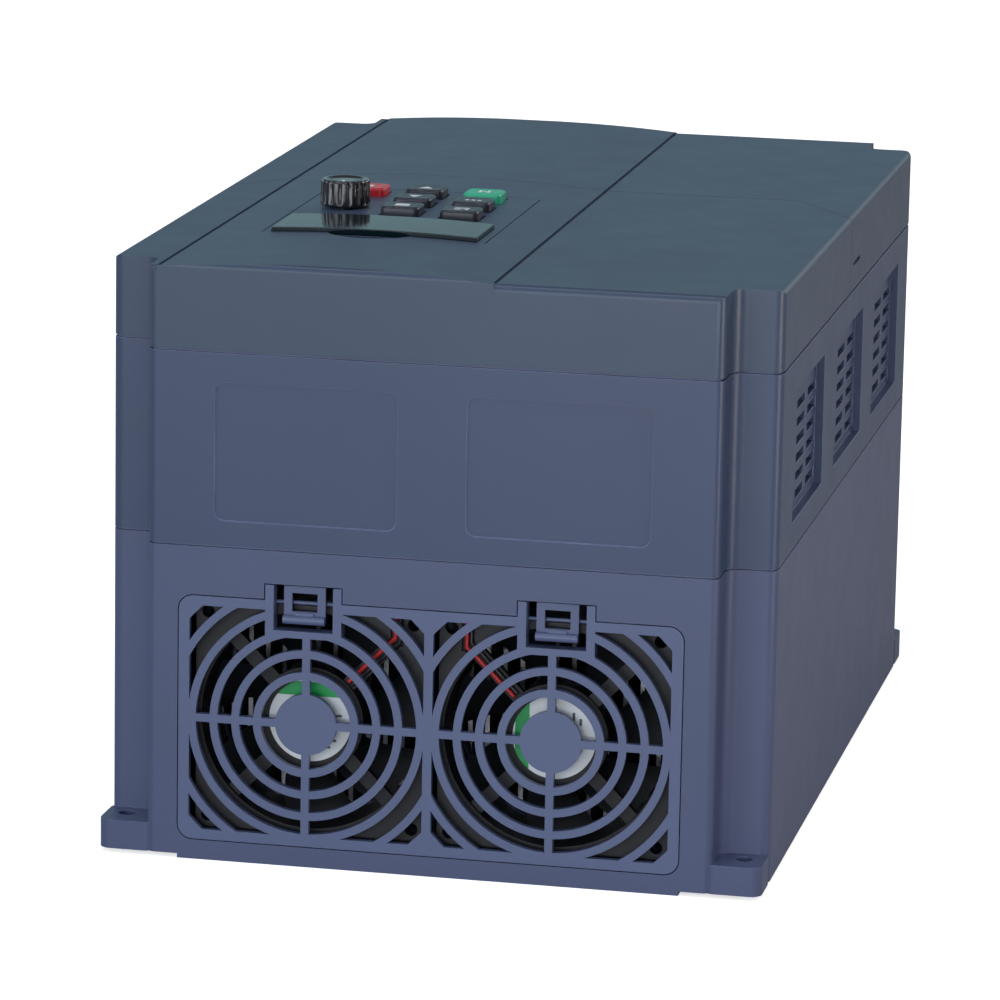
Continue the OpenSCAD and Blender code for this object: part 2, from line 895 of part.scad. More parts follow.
module board_screws() {
  color("gainsboro")
    for (sx = [-1, 1], y = [board_y0 + 6, 0, board_y1 - 6])
      pan_screw(sx * (board_half - 6), y, board_top, 2.9, 9);
}

module capacitors() {
  color("midnightblue")
    for (sx = [-1.5, -0.5, 0.5, 1.5])
      pillar(sx * (cap_d + 5), board_y0 + 40, board_top, board_top + cap_h, cap_d);
}

module transformer() {
  color("gold") {
    box(-80, -44, 10, 40, board_top, board_top + 4);
    box(-76, -48, 14, 36, board_top + 3.5, board_top + 28);
    box(-80, -44, 19, 31, board_top + 8, board_top + 25);
  }
}

module current_sensors() {
  color("black")
    for (x = [10, 40, 70])
      difference() {
        box(x - 11, x + 11, 12, 24, board_top, board_top + 24);
        rod(x, 11, 25, board_top + 13, 11);
      }
}

module power_terminals() {
  half = poles * pole_pitch / 2;
  color("black")
    difference() {
      box(-half - 3, half + 3, term_y, term_y + term_d, sink_z1, sink_z1 + term_h);
      for (i = [0 : poles - 1])
        box(-half + i * pole_pitch + 1.2, -half + (i + 1) * pole_pitch - 1.2,
          term_y + 3, term_y + term_d + eps, sink_z1 + term_h - 16, sink_z1 + term_h + eps);
      for (i = [0 : poles - 1])
        pillar(-half + (i + 0.5) * pole_pitch, term_y + term_d / 2 + 3, sink_z1 + term_h - 24,
          sink_z1 + term_h, 5.2);
    }
}

module terminal_screws() {
  half = poles * pole_pitch / 2;
  color("gainsboro")
    for (i = [0 : poles - 1])
      pan_screw(-half + (i + 0.5) * pole_pitch, term_y + term_d / 2 + 3, sink_z1 + term_h - 16, 5, 7.5);
}

module earth_screws() {
  color("gold")
    for (sx = [-1, 1]) {
      pillar(sx * (sink_half - 8), term_y + 14, sink_z1, sink_z1 + 4, 12);
      pan_screw(sx * (sink_half - 8), term_y + 14, sink_z1 + 4, 5, 3);
    }
}

module charge_lamp() {
  color("red") {
    pillar(70, board_y1 - 16, board_top, board_top + 5, 5);
    translate([70, board_y1 - 16, board_top + 5])
      sphere(d = 5);
  }
}

// ---- control section ----

module control_tray() {
  post_x = board_half - 14;
  color("dimgray") {
    difference() {
      box(-board_half + 6, board_half - 6, board_y0 + 10, board_y1 - 4, tray_z, tray_top);
      box(-30, 30, board_y0 + 20, board_y0 + 60, tray_z - eps, tray_top + eps);
    }
    for (sx = [-1, 1], y = [board_y0 + 16, board_y1 - 10])
      pillar(sx * post_x, y, board_top, tray_z + 1, 8);
    for (sx = [-1, 1], y = [plug_y - 8, board_y1 - 12])
      pillar(sx * 68, y, tray_top - 0.5, ctrl_z, 6);
  }
}

module control_board() {
  color("darkgreen")
    box(-74, 74, plug_y - 14, board_y1 - 5, ctrl_z, ctrl_top);
}

module control_terminals() {
  color("mediumseagreen")
    difference() {
      box(-62, 62, board_y1 - 22, board_y1 - 8, ctrl_top, ctrl_top + 11);
      for (i = [0 : 23])
        box(-60.5 + i * 5.08, -57 + i * 5.08, board_y1 - 10, board_y1 - 7,
          ctrl_top + 2, ctrl_top + 6);
      for (i = [0 : 23])
        pillar(-58.75 + i * 5.08, board_y1 - 15, ctrl_top + 7, ctrl_top + 12, 3.6);
    }
}

module relay() {
  color("royalblue")
    box(30, 58, board_y1 - 44, board_y1 - 32, ctrl_top, ctrl_top + 10);
}

module keypad_socket() {
  color("black")
    difference() {
      box(plug_x - 10, plug_x + 10, plug_y - 7, plug_y + 7, ctrl_top, ctrl_top + 7);
      box(plug_x - 8, plug_x + 8, plug_y - 5, plug_y + 5, ctrl_top + 1, ctrl_top + 8);
    }
}

module shell_screws() {
  color("gainsboro")
    for (sx = [-1, 1], sy = [-1, 1])
      pan_screw(sx * boss_x, sy * boss_y, lower_seam + 8, 4, 20);
}

// ---- cable end ----

module gland_plate() {
  color("slategray")
    difference() {
      union() {
        panel(gland_w - 0.6, gland_h - 0.6, 2.7, rear - gland_t, rear, 0, gland_z0 + gland_h / 2);
        panel(gland_w + 9, gland_h + 9, 3, rear - wall - 2, rear - wall, 0, gland_z0 + gland_h / 2);
      }
      for (i = [-1, 0, 1])
        rod(i * entry_x, rear - wall - 3, rear + eps, gland_z0 + gland_h / 2, entry_d + 2 * grommet_t);
      for (sx = [-1, 1])
        rod(sx * (gland_w / 2 - 5), rear - 6, rear + eps, gland_z0 + gland_h - 6, 3.4);
    }
}

module cable_grommets() {
  color("black")
    for (i = [-1, 0, 1])
      difference() {
        union() {
          rod(i * entry_x, rear - wall - 4, rear, gland_z0 + gland_h / 2,
            entry_d + 2 * grommet_t - 0.1);
          rod(i * entry_x, rear - wall - 5, rear - wall - 2.1, gland_z0 + gland_h / 2,
            entry_d + 2 * grommet_t + 5);
        }
        rod(i * entry_x, rear - wall - 6, rear + eps, gland_z0 + gland_h / 2, entry_d);
      }
}

module gland_screws() {
  color("gainsboro")
    for (sx = [-1, 1])
      difference() {
        union() {
          rod(sx * (gland_w / 2 - 5), rear - 10, rear - 0.2, gland_z0 + gland_h - 6, 3);
          rod(sx * (gland_w / 2 - 5), rear - 1.4, rear - 0.2, gland_z0 + gland_h - 6, 3.3);
        }
        box(sx * (gland_w / 2 - 5) - 1.2, sx * (gland_w / 2 - 5) + 1.2, rear - 0.9, rear + eps,
          gland_z0 + gland_h - 6.3, gland_z0 + gland_h - 5.7);
      }
}

// ---- keypad ----

module key_hole(x, y) {
  box(x - key_w / 2 - key_fit, x + key_w / 2 + key_fit, y - key_l / 2 - key_fit,
    y + key_l / 2 + key_fit, pad_skin - eps, height + crown + eps);
}

module keypad_case() {
  window_y1 = pad_y0 + window_l;
  color("slategray")
    difference() {
      intersection() {
        box(pad_x0, pad_x0 + pad_w, pad_y0, pad_y1, pad_z0, height + crown + eps);
        crown_rod(0);
      }
      box(pad_x0 + 2, pad_x0 + pad_w - 2, pad_y0 + 2, pad_y1 - 2, pad_z0 + 2, pad_skin);
      box(pad_x0 + 12, pad_x0 + pad_w - 12, pad_y0 + 6, window_y1 - 6, pad_z0 + 3,
        height + crown + eps);
      difference() {
        box(pad_x0 + window_side - 0.2, pad_x0 + pad_w - window_side + 0.2, pad_y0 - eps, window_y1,
          height - 2, height + crown + eps);
        crown_rod(window_rise - window_t);
      }
      for (c = [0, 1], r = [0, 1, 2])
        key_hole(key_x0 + c * key_dx, key_y0 + r * key_dy);
      key_hole(key_x0 - key_dx, key_y0 + 2 * key_dy);
      hole(knob_x, knob_y, pad_skin, height + crown, pot_d + 1);
      box(plug_x - 7.6, plug_x + 7.6, plug_y - 4.6, plug_y + 4.6, pad_z0 - eps, pad_z0 + 3);
    }
}

module keypad_window() {
  color([0.1, 0.25, 0.28])
    difference() {
      intersection() {
        box(pad_x0 + window_side, pad_x0 + pad_w - window_side, pad_y0 + 0.3,
          pad_y0 + window_l - 0.2, height - 2, height + crown + 5);
        crown_rod(window_rise);
      }
      crown_rod(window_rise - window_t);
    }
}

module display_module() {
  color("black")
    box(pad_x0 + 13, pad_x0 + pad_w - 13, pad_y0 + 7, pad_y0 + window_l - 7,
      pad_board_top, height - 1);
}

module keypad_board() {
  color("darkgreen")
    box(pad_x0 + 2.4, pad_x0 + pad_w - 2.4, pad_y0 + 2.4, pad_y1 - 2.4,
      pad_board_top - board_t, pad_board_top);
}

module key_switch(x, y) {
  box(x - 3, x + 3, y - 3, y + 3, pad_board_top, pad_board_top + 3.4);
  pillar(x, y, pad_board_top + 3, pad_board_top + switch_h, 3.4);
}

module key_switches() {
  color("black") {
    for (c = [0, 1], r = [0, 1, 2])
      key_switch(key_x0 + c * key_dx, key_y0 + r * key_dy);
    key_switch(key_x0 - key_dx, key_y0 + 2 * key_dy);
  }
}

module potentiometer() {
  color("silver")
    difference() {
      box(knob_x - 8, knob_x + 8, knob_y - 8, knob_y + 8, pad_board_top, pad_skin - 0.3);
      pillar(knob_x, knob_y, pad_board_top + 2, pad_skin + eps, pot_d + 2 * shaft_fit);
    }
}

module keypad_plug() {
  color("black")
    box(plug_x - 7.5, plug_x + 7.5, plug_y - 4.5, plug_y + 4.5, ctrl_top + 2,
      pad_board_top - board_t);
}

module knob() {
  z0 = crown_z(knob_x + knob_d / 2) + 0.4;
  color([0.12, 0.13, 0.17])
    difference() {
      pillar(knob_x, knob_y, z0, z0 + knob_h, knob_d);
      pillar(knob_x, knob_y, z0 - eps, z0 + knob_h - 2, pot_d + 0.1);
      for (a = [0 : 20 : 340])
        translate([knob_x, knob_y, 0])
          rotate(a)
            pillar(knob_d / 2 + 0.35, 0, z0 + 1, z0 + knob_h + eps, 1.9);
      translate([knob_x, knob_y, z0 + knob_h - 0.5])
        rotate(-60)
          translate([0, -0.6, 0])
            cube([knob_d / 2 - 1.4, 1.2, 1]);
    }
}

module pot_shaft() {
  color("silver")
    pillar(knob_x, knob_y, pad_board_top + 2.3, crown_z(knob_x + knob_d / 2) + knob_h - 1.8, pot_d);
}

module key_cap(col, row) {
  x = key_x0 + col * key_dx;
  y = key_y0 + row * key_dy;
  z1 = crown_z(x) + key_h;
  translate([x, y, key_z0])
    linear_extrude(z1 - key_z0)
      rounded(key_w, key_l, 2);
  translate([x, y, key_z0])
    linear_extrude(pad_skin - 0.4 - key_z0)
      rounded(key_w + 3, key_l + 3, 2);
}

module key_run() {
  color([0.1, 0.7, 0.45])
    key_cap(1, 2);
}

module key_stop() {
  color([0.8, 0.1, 0.1])
    key_cap(-1, 2);
}

module key_up() {
  color([0.12, 0.13, 0.17])
    key_cap(0, 1);
}

module key_down() {
  color([0.12, 0.13, 0.17])
    key_cap(0, 2);
}

module key_menu() {
  color([0.12, 0.13, 0.17])
    key_cap(0, 0);
}

module key_shift() {
  color([0.12, 0.13, 0.17])
    key_cap(1, 1);
}

module key_enter() {
  color([0.12, 0.13, 0.17])
    key_cap(1, 0);
}

base_housing();
middle_housing();
top_cover();
terminal_cover();
fan_cover();
fan_latch_left();
fan_latch_right();
fan_frame_left();
fan_frame_right();
fan_rotor_left();
fan_rotor_right();
fan_labels();
fan_leads_red();
fan_leads_black();
fan_duct();
fan_sockets();
heat_sink();
igbt_module();
rectifier_module();
module_screws();
power_board();
board_standoffs();
board_screws();
capacitors();
transformer();
current_sensors();
power_terminals();
terminal_screws();
earth_screws();
charge_lamp();
control_tray();
control_board();
control_terminals();
relay();
keypad_socket();
shell_screws();
gland_plate();
cable_grommets();
gland_screws();
keypad_case();
keypad_window();
display_module();
keypad_board();
key_switches();
potentiometer();
keypad_plug();
knob();
pot_shaft();
key_run();
key_stop();
key_up();
key_down();
key_menu();
key_shift();
key_enter();
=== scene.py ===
"""Looks of the variable frequency drive: finished shells, fans, keypad, materials, light and camera.

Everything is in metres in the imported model's frame: the drive lies on its back, +Z up, fan end at -Y.
"""

import json
import math

import bmesh
import bpy
from mathutils import Matrix, Vector


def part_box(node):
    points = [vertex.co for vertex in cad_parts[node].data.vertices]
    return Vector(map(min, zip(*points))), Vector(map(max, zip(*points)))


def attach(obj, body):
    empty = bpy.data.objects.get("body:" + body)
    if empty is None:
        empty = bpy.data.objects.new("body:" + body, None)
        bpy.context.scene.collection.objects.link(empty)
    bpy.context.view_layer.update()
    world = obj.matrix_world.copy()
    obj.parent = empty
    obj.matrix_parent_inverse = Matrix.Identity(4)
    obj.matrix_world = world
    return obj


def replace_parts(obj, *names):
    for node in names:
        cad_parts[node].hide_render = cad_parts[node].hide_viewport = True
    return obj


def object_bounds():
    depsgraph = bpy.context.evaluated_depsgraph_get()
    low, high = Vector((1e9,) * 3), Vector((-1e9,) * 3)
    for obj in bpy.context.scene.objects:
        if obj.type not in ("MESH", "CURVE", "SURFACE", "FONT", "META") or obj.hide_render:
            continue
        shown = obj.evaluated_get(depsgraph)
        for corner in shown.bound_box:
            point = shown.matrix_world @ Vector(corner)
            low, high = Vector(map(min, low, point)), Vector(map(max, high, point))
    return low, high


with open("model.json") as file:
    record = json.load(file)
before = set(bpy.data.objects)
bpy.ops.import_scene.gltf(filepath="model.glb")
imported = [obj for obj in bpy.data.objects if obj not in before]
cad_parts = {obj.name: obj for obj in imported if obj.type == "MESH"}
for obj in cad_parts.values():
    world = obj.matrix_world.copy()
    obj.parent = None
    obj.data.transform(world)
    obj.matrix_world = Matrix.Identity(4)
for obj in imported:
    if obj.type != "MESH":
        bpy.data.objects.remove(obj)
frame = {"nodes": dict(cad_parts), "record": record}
cad_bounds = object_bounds()
NODES = frame["nodes"]
BODY_OF = {n: b for b, ns in frame["record"]["behaviour"]["bodies"].items() for n in ns}
SLOT_OF = {s["node"]: s["material_slot"] for s in frame["record"]["subparts"]}
MM = 0.001
# face attribute that marks the rounding of an edge
RIM = "rim"
# an edge sharper than this is rounded, and one sharper than SMOOTH shades as a crease
SHARP = math.radians(28)
SMOOTH = 40


# ---------------------------------------------------------------- materials


def srgb(r, g, b):
    """Linear colour from 0-255 display values."""
    def lin(c):
        c /= 255
        return c / 12.92 if c <= 0.04045 else ((c + 0.055) / 1.055) ** 2.4
    return (lin(r), lin(g), lin(b), 1.0)


class Shader:
    """A small builder for one node material."""

    def __init__(self, name):
        self.mat = bpy.data.materials.new(name)
        self.mat.use_nodes = True
        self.tree = self.mat.node_tree
        self.bsdf = self.tree.nodes["Principled BSDF"]
        self.coords = self.node("ShaderNodeTexCoord").outputs["Object"]

    def node(self, kind, **inputs):
        made = self.tree.nodes.new(kind)
        for key, value in inputs.items():
            made.inputs[key.replace("_", " ")].default_value = value
        return made

    def link(self, source, target):
        self.tree.links.new(source, target)

    def noise(self, size, detail=2.0, rough=0.5, stretch=(1, 1, 1)):
        """Noise whose grain is about size metres across."""
        place = self.node("ShaderNodeMapping")
        place.inputs["Scale"].default_value = stretch
        self.link(self.coords, place.inputs["Vector"])
        tex = self.node("ShaderNodeTexNoise", Scale=1 / size, Detail=detail, Roughness=rough)
        self.link(place.outputs["Vector"], tex.inputs["Vector"])
        return tex.outputs["Fac"]

    def span(self, source, low, high, from_low=0.3, from_high=0.7):
        """Maps a 0-1 signal to low..high."""
        ramp = self.node("ShaderNodeMapRange")
        ramp.inputs["From Min"].default_value = from_low
        ramp.inputs["From Max"].default_value = from_high
        ramp.inputs["To Min"].default_value = low
        ramp.inputs["To Max"].default_value = high
        self.link(source, ramp.inputs["Value"])
        return ramp.outputs["Result"]

    def blend(self, fac, a, b):
        mix = self.node("ShaderNodeMix")
        mix.data_type = "RGBA"
        self.link(fac, mix.inputs[0])
        for socket, colour in ((mix.inputs[6], a), (mix.inputs[7], b)):
            if isinstance(colour, tuple):
                socket.default_value = colour
            else:
                self.link(colour, socket)
        return mix.outputs[2]

    def bump(self, layers):
        """layers: (signal, strength, depth in metres)."""
        last = None
        for signal, strength, depth in layers:
            made = self.node("ShaderNodeBump", Strength=strength, Distance=depth)
            self.link(signal, made.inputs["Height"])
            if last is not None:
                self.link(last, made.inputs["Normal"])
            last = made.outputs["Normal"]
        self.link(last, self.bsdf.inputs["Normal"])

    def rim(self):
        """The faces that round an edge, broken up by noise: where a painted highlight lightens the
        edges.
        """
        mark = self.node("ShaderNodeAttribute")
        mark.attribute_name = RIM
        share = self.node("ShaderNodeMath")
        share.operation = "MULTIPLY"
        self.link(mark.outputs["Fac"], share.inputs[0])
        self.link(self.span(self.noise(12 * MM, 3.0), 0.55, 1.0), share.inputs[1])
        return share.outputs["Value"]


def tone(colour, factor):
    return tuple(c * factor for c in colour[:3]) + (1.0,)


def plastic(name, colour, rough=0.42, grain=0.35 * MM, depth=0.02 * MM, edge_highlight=0.25, coat=0.0,
            edge_highlight_colour=None):
    """Moulded plastic: fine spark-erosion grain, slow colour drift, smudges and a painted highlight
    that lightens the rounded edges.
    """
    s = Shader(name)
    fine = s.noise(grain, 3.0, 0.6)
    drift = s.noise(60 * MM, 2.0)
    smudge = s.noise(18 * MM, 4.0, 0.65)
    base = s.blend(s.span(drift, 0.0, 1.0), tone(colour, 0.97), tone(colour, 1.03))
    # painted highlight: the rounded edges are mixed toward a lighter edge colour
    highlighted = s.blend(s.rim(), base, edge_highlight_colour or tone(colour, 1.0 + edge_highlight))
    s.link(highlighted, s.bsdf.inputs["Base Color"])
    s.link(s.span(smudge, rough - 0.02, rough + 0.03), s.bsdf.inputs["Roughness"])
    if coat:
        s.bsdf.inputs["Coat Weight"].default_value = coat
        s.bsdf.inputs["Coat Roughness"].default_value = 0.12
    s.bump([(fine, 0.35, depth)])
    return s.mat


def metal(name, colour, rough=0.3, stretch=(1, 1, 1), depth=0.01 * MM):
    """Bare metal with drawn or cast marks."""
    s = Shader(name)
    marks = s.noise(0.6 * MM, 3.0, 0.6, stretch)
    stain = s.noise(14 * MM, 4.0)
    base = s.blend(s.span(stain, 0.0, 1.0), tone(colour, 0.82), colour)
    s.link(base, s.bsdf.inputs["Base Color"])
    s.bsdf.inputs["Metallic"].default_value = 1.0
    s.link(s.span(marks, rough - 0.08, rough + 0.12), s.bsdf.inputs["Roughness"])
    s.bump([(marks, 0.3, depth)])
    return s.mat


def board(name):
    """Solder mask over copper tracks on glass fibre."""
    s = Shader(name)
    brick = s.node("ShaderNodeTexVoronoi", Scale=220.0)
    brick.distance = "MANHATTAN"
    s.link(s.coords, brick.inputs["Vector"])
    tracks = s.span(brick.outputs["Distance"], 0.0, 1.0, 0.35, 0.42)
    weave = s.noise(0.5 * MM, 2.0, 0.5, (1, 1, 1))
    base = s.blend(tracks, srgb(14, 74, 40), srgb(24, 104, 58))
    s.link(base, s.bsdf.inputs["Base Color"])
    s.link(s.span(weave, 0.25, 0.4), s.bsdf.inputs["Roughness"])
    s.bump([(tracks, 0.25, 0.03 * MM), (weave, 0.1, 0.02 * MM)])
    return s.mat


def sleeve(name, colour):
    """Glossy shrink sleeve with faint wrinkles."""
    s = Shader(name)
    wrinkle = s.noise(6 * MM, 3.0, 0.5, (1, 1, 0.25))
    s.link(s.blend(s.span(wrinkle, 0.0, 1.0), tone(colour, 0.85), tone(colour, 1.1)),
           s.bsdf.inputs["Base Color"])
    s.link(s.span(wrinkle, 0.2, 0.32), s.bsdf.inputs["Roughness"])
    s.bump([(wrinkle, 0.25, 0.1 * MM)])
    return s.mat


def window_material(name):
    """Smoked glossy acrylic with fine wiping scratches."""
    s = Shader(name)
    scratch = s.noise(1.2 * MM, 4.0, 0.7, (0.15, 1, 1))
    haze = s.noise(20 * MM, 3.0)
    s.link(s.blend(s.span(haze, 0.0, 1.0), srgb(8, 24, 28), srgb(12, 32, 37)),
           s.bsdf.inputs["Base Color"])
    s.link(s.span(scratch, 0.05, 0.13), s.bsdf.inputs["Roughness"])
    s.bump([(scratch, 0.05, 0.01 * MM)])
    return s.mat


def paper(name, colour):
    """Laminated label stock, slightly yellowed and rippled."""
    s = Shader(name)
    age = s.noise(9 * MM, 3.0)
    fibre = s.noise(0.8 * MM, 3.0)
    s.link(s.blend(s.span(age, 0.0, 1.0), tone(colour, 0.93), colour), s.bsdf.inputs["Base Color"])
    s.link(s.span(age, 0.3, 0.42), s.bsdf.inputs["Roughness"])
    s.bump([(fibre, 0.08, 0.02 * MM), (age, 0.1, 0.05 * MM)])
    return s.mat


# the cover and keypad slate is a shade darker and the base slate a shade lighter than the middle
# housing's: painted light, lighter towards the bottom
SLATE = srgb(54, 68, 96)
SLATE_DARKER_TOP = srgb(52, 68, 90)
SLATE_LIGHTER_BASE = srgb(69, 79, 109)
# lavender painted highlight for the rounded edges of the shells, keypad and grille
LAVENDER_EDGE_HIGHLIGHT = srgb(122, 128, 166)
MATERIALS = {
    "case_plastic": plastic("case_plastic", SLATE, rough=0.4, edge_highlight_colour=LAVENDER_EDGE_HIGHLIGHT),
    "base_plastic": plastic("base_plastic", SLATE_LIGHTER_BASE, rough=0.4, edge_highlight_colour=LAVENDER_EDGE_HIGHLIGHT),
    "cover_plastic": plastic("cover_plastic", SLATE_DARKER_TOP, rough=0.4, edge_highlight_colour=LAVENDER_EDGE_HIGHLIGHT),
    "keypad_plastic": plastic("keypad_plastic", SLATE_DARKER_TOP, rough=0.4, edge_highlight_colour=LAVENDER_EDGE_HIGHLIGHT),
    "grille_plastic": plastic("grille_plastic", srgb(80, 91, 123), rough=0.4, edge_highlight_colour=LAVENDER_EDGE_HIGHLIGHT),
    "fan_plastic": plastic("fan_plastic", srgb(20, 21, 26), rough=0.5, edge_highlight=0.1),
    "rotor_plastic": plastic("rotor_plastic", srgb(17, 20, 24), rough=0.45, edge_highlight=0.1),
    "label_paper": paper("label_paper", srgb(222, 228, 230)),
    "red_wire": plastic("red_wire", srgb(190, 40, 36), rough=0.35, edge_highlight=0.1),
    "black_wire": plastic("black_wire", srgb(24, 24, 28), rough=0.35, edge_highlight=0.1),
    "socket_nylon": plastic("socket_nylon", srgb(226, 222, 205), rough=0.4),
    "aluminium": metal("aluminium", srgb(196, 199, 204), 0.35, (1, 0.05, 1)),
    "module_plastic": plastic("module_plastic", srgb(222, 218, 206), rough=0.4),
    "zinc_steel": metal("zinc_steel", srgb(186, 188, 192), 0.28),
    "brass": metal("brass", srgb(206, 170, 96), 0.28),
    "board_green": board("board_green"),
    "cap_sleeve": sleeve("cap_sleeve", srgb(26, 32, 70)),
    "copper_tape": plastic("copper_tape", srgb(204, 160, 50), rough=0.3),
    "black_plastic": plastic("black_plastic", srgb(26, 27, 32), rough=0.42),
    "red_plastic": plastic("red_plastic", srgb(190, 30, 28), rough=0.2),
    "terminal_green": plastic("terminal_green", srgb(40, 130, 80), rough=0.4),
    "relay_blue": plastic("relay_blue", srgb(34, 66, 150), rough=0.25),
    "rubber": plastic("rubber", srgb(22, 22, 25), rough=0.6, grain=0.8 * MM, depth=0.05 * MM),
    "window": window_material("window"),
    "knob_plastic": plastic("knob_plastic", srgb(20, 21, 28), rough=0.16, edge_highlight=0.5, coat=0.5),
    "key_black": plastic("key_black", srgb(26, 29, 42), rough=0.3, edge_highlight=0.3),
    "key_green": plastic("key_green", srgb(36, 176, 130), rough=0.3, edge_highlight=0.2),
    "key_red": plastic("key_red", srgb(196, 36, 44), rough=0.3, edge_highlight=0.2),
}
MARK_WHITE = plastic("mark_white", srgb(228, 230, 234), rough=0.4, edge_highlight=0.0)
PRINT_GREEN = paper("print_green", srgb(30, 158, 84))
PRINT_GREY = paper("print_grey", srgb(84, 92, 92))


# ---------------------------------------------------------------- mesh helpers


def make_object(name, mesh, material):
    obj = bpy.data.objects.new(name, mesh)
    bpy.context.scene.collection.objects.link(obj)
    obj.data.materials.clear()
    obj.data.materials.append(material)
    return obj


def stand_for(obj, node):
    """Rides with the node's body and takes its place."""
    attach(obj, BODY_OF[node])
    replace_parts(obj, node)


def finish_mesh(bm, name, material, smooth_angle=SMOOTH):
    mesh = bpy.data.meshes.new(name)
    bm.normal_update()
    bm.to_mesh(mesh)
    bm.free()
    for polygon in mesh.polygons:
        polygon.use_smooth = True
    mesh.set_sharp_from_angle(angle=math.radians(smooth_angle))
    return make_object(name, mesh, material)


def cleaned(node):
    """The node's mesh with its triangles joined into plain faces."""
    bm = bmesh.new()
    bm.from_mesh(NODES[node].data)
    bm.faces.layers.float.new(RIM)
    bmesh.ops.remove_doubles(bm, verts=bm.verts, dist=0.002 * MM)
    bmesh.ops.dissolve_limit(bm, angle_limit=math.radians(0.6), verts=bm.verts, edges=bm.edges)
    return bm


def bevel(bm, edges, width, segments):
    """Rounds edges and marks the faces that do it."""
    made = bmesh.ops.bevel(bm, geom=edges, offset=width, offset_type="OFFSET", segments=segments,
                           profile=0.5, affect="EDGES", clamp_overlap=True)
    layer = bm.faces.layers.float[RIM]
    for face in made["faces"]:
        face[layer] = 1.0


def sharp_edges(bm):
    return [e for e in bm.edges if len(e.link_faces) == 2 and e.calc_face_angle(0) > SHARP]


def rounded_copy(node, width, first=None):
    """Replaces a node by a copy whose sharp edges are rounded by width metres.

    first is (test, width): the edges it picks get a larger rounding beforehand.
    """
    bm = cleaned(node)
    if first:
        test, first_width = first
        bevel(bm, [e for e in sharp_edges(bm) if test(e)], first_width, 4)
    if width:
        bevel(bm, sharp_edges(bm), width, 2)
    obj = finish_mesh(bm, node + "_looks", MATERIALS[SLOT_OF[node]])
    weighted = obj.modifiers.new("weighted", "WEIGHTED_NORMAL")
    weighted.keep_sharp = True
    stand_for(obj, node)


for node, obj in NODES.items():
    obj.data.materials.clear()
    obj.data.materials.append(MATERIALS[SLOT_OF[node]])


# ---------------------------------------------------------------- shells and covers

for node, width in (
    ("base_housing", 0.45 * MM),
    ("middle_housing", 0.4 * MM),
    ("fan_leads_red", 0.0),
    ("fan_leads_black", 0.0),
    ("fan_duct", 0.3 * MM),
    ("fan_cover", 0.4 * MM),
    ("fan_latch_left", 0.3 * MM),
    ("fan_latch_right", 0.3 * MM),
    ("fan_frame_left", 0.4 * MM),
    ("fan_frame_right", 0.4 * MM),
    ("gland_plate", 0.4 * MM),
    ("keypad_case", 0.3 * MM),
    ("keypad_window", 0.3 * MM),
    ("cable_grommets", 0.4 * MM),
    ("power_terminals", 0.3 * MM),
    ("control_terminals", 0.2 * MM),
    ("capacitors", 1.2 * MM),
):
    rounded_copy(node, width)


def notch_rim(edge):
    """The top edges round the four corner notches of the covers."""
    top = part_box("terminal_cover")[1][2]
    half, end = cad_bounds[1][0], cad_bounds[1][1]
    reach = 17.6 * MM
    return all(v.co.z > top - 0.05 * MM and abs(v.co.x) > half - reach
               and abs(v.co.y) > end - reach for v in edge.verts)


for node in ("top_cover", "terminal_cover"):
    rounded_copy(node, 0.35 * MM, first=(notch_rim, 1.6 * MM))


# ---------------------------------------------------------------- lofted pieces


def ring(bm, points):
    return [bm.verts.new(p) for p in points]


def bridge(bm, lower, upper):
    count = len(lower)
    for i in range(count):
        j = (i + 1) % count
        bm.faces.new((lower[i], lower[j], upper[j], upper[i]))


def loft(bm, rings):
    """Closed skin through rings of equal length, capped at both ends."""
    made = [ring(bm, points) for points in rings]
    for lower, upper in zip(made, made[1:]):
        bridge(bm, lower, upper)
    bm.faces.new(list(reversed(made[0])))
    bm.faces.new(made[-1])


def rounded_rect(width, depth, radius, steps=5):
    """Corner points of a rounded rectangle, anticlockwise."""
    points = []
    for quarter, (sx, sy) in enumerate(((1, 1), (-1, 1), (-1, -1), (1, -1))):
        for k in range(steps + 1):
            a = math.radians(90 * (quarter + k / steps))
            points.append((sx * (width / 2 - radius) + radius * math.cos(a),
                           sy * (depth / 2 - radius) + radius * math.sin(a)))
    return points


def key_cap(node):
    """Key with drafted sides, a soft top edge and a dished top."""
    low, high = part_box(node)
    flange = 3.0 * MM
    width, depth = high[0] - low[0] - flange, high[1] - low[1] - flange
    x, y = (low[0] + high[0]) / 2, (low[1] + high[1]) / 2
    top, soft = high[2], 1.0 * MM
    levels = [(0, low[2]), (0, top - 4.6 * MM), (0.15 * MM, top - soft)]
    for k in range(1, 6):
        a = math.radians(90 * k / 5)
        levels.append((0.15 * MM + soft * (1 - math.cos(a)), top - soft * (1 - math.sin(a))))
    levels += [(2.6 * MM, top - 0.12 * MM), (4.4 * MM, top - 0.2 * MM)]
    bm = bmesh.new()
    rings = []
    for inset, z in levels:
        radius = max(2.0 * MM - inset * 0.4, 0.8 * MM)
        rings.append([(x + px, y + py, z) for px, py in
                      rounded_rect(width - 2 * inset, depth - 2 * inset, radius)])
    loft(bm, rings)
    obj = finish_mesh(bm, node + "_cap", MATERIALS[SLOT_OF[node]], 50)
    stand_for(obj, node)
    return Vector((x, y, top - 0.16 * MM))


